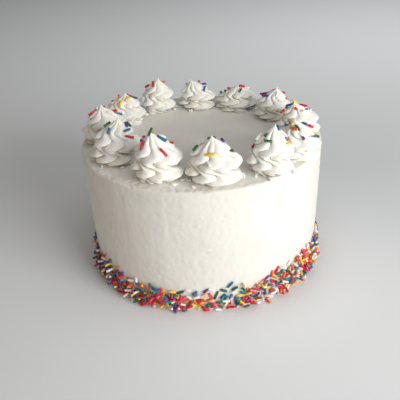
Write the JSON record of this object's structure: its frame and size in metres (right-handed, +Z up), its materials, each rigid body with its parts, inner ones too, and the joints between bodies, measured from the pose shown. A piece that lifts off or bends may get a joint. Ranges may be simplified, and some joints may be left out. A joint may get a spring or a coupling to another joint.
{
  "type": "sprinkle cake",
  "caption": "Round iced layer cake, whole and uncut, with a ring of piped icing swirls on top and coloured sugar sprinkles round its foot and on the swirls.",
  "frame": {"origin": "middle of the flat base that the cake stands on", "axes": "+Z up, front towards -Y"},
  "size_m": [0.213, 0.2145, 0.1549],
  "materials": {
    "icing": "soft white whipped icing with a faint sheen",
    "sprinkles": "waxy sugar rods in eight colours"
  },
  "bodies": {
    "root": {"iced_cake": "icing", "dollop_01": "icing", "dollop_02": "icing", "dollop_03": "icing", "dollop_04": "icing", "dollop_05": "icing", "dollop_06": "icing", "dollop_07": "icing", "dollop_08": "icing", "dollop_09": "icing", "dollop_10": "icing", "dollop_11": "icing", "dollop_12": "icing"}
  },
  "joints": []
}
